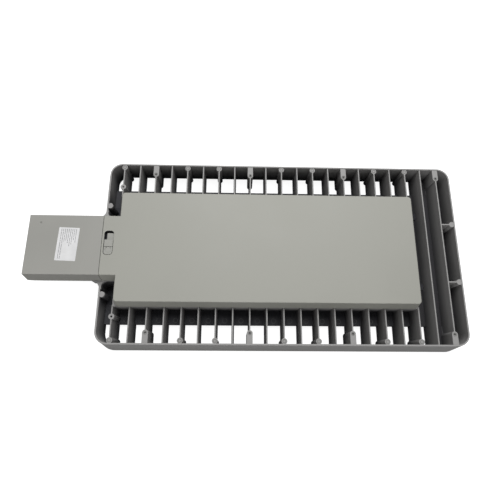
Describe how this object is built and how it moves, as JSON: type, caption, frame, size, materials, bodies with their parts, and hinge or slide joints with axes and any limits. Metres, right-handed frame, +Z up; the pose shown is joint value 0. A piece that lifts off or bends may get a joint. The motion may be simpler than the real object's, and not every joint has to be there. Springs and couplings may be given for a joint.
{
  "type": "led street light head",
  "caption": "Die-cast finned LED street light head with a hinged driver cover, a sliding latch and a straight hollow arm that bolts to a pole.",
  "frame": {"origin": "middle of the arm's end face, the face that bolts to the pole", "axes": "+X from the pole along the head, +Y across it, +Z up through the driver cover; the lenses face -Z"},
  "size_m": [0.7066, 0.3176, 0.072],
  "materials": {
    "grey_casting": "fine matt powder coat on die-cast aluminium",
    "grey_sheet": "matt powder coat on sheet",
    "dark_rubber": "silicone rubber",
    "steel": "stainless, slightly dull",
    "latch_grey": "moulded, matt",
    "label_white": "blank film sticker",
    "driver_case": "plain extruded case",
    "dark_plastic": "moulded, matt",
    "pale_plastic": "moulded, matt",
    "wire_sheath": "insulated wire",
    "board_white": "white solder mask on aluminium",
    "lens_clear": "clear moulded polycarbonate"
  },
  "bodies": {
    "housing": {"housing": "grey_casting", "arm": "grey_casting", "arm_cover_plate": "grey_sheet", "cover_gasket": "dark_rubber", "arm_gasket": "dark_rubber", "cable_bushing": "dark_rubber", "lead_grommet": "dark_rubber", "lens_gasket_1": "dark_rubber", "lens_gasket_2": "dark_rubber", "lens_gasket_3": "dark_rubber", "lens_gasket_4": "dark_rubber", "hinge_pins": "steel", "latch_keeper": "steel", "keeper_screws": "steel", "arm_bolts": "steel", "arm_cover_screws": "steel", "equipment_screws": "steel", "lens_screws": "steel", "arm_label": "label_white", "led_driver": "driver_case", "surge_protector": "dark_plastic", "terminal_block": "pale_plastic", "input_wires": "wire_sheath", "led_lead": "dark_plastic", "vent_plug": "dark_plastic", "led_board_1": "board_white", "led_board_2": "board_white", "led_board_3": "board_white", "led_board_4": "board_white", "lens_tray_1": "lens_clear", "lens_tray_2": "lens_clear", "lens_tray_3": "lens_clear", "lens_tray_4": "lens_clear"},
    "driver_cover": {"driver_cover": "grey_casting", "latch_guide": "steel", "guide_screws": "steel"},
    "latch": {"latch_slider": "latch_grey"}
  },
  "joints": [
    {"name": "cover_hinge", "type": "hinge", "parent": "housing", "child": "driver_cover", "pos_m": [0.627, 0, -0.0045], "axis": [0, 1, 0], "range_deg": [0, 90]},
    {"name": "latch_slide", "type": "slide", "parent": "driver_cover", "child": "latch", "axis": [0, 1, 0], "range_m": [0, 0.008]}
  ]
}
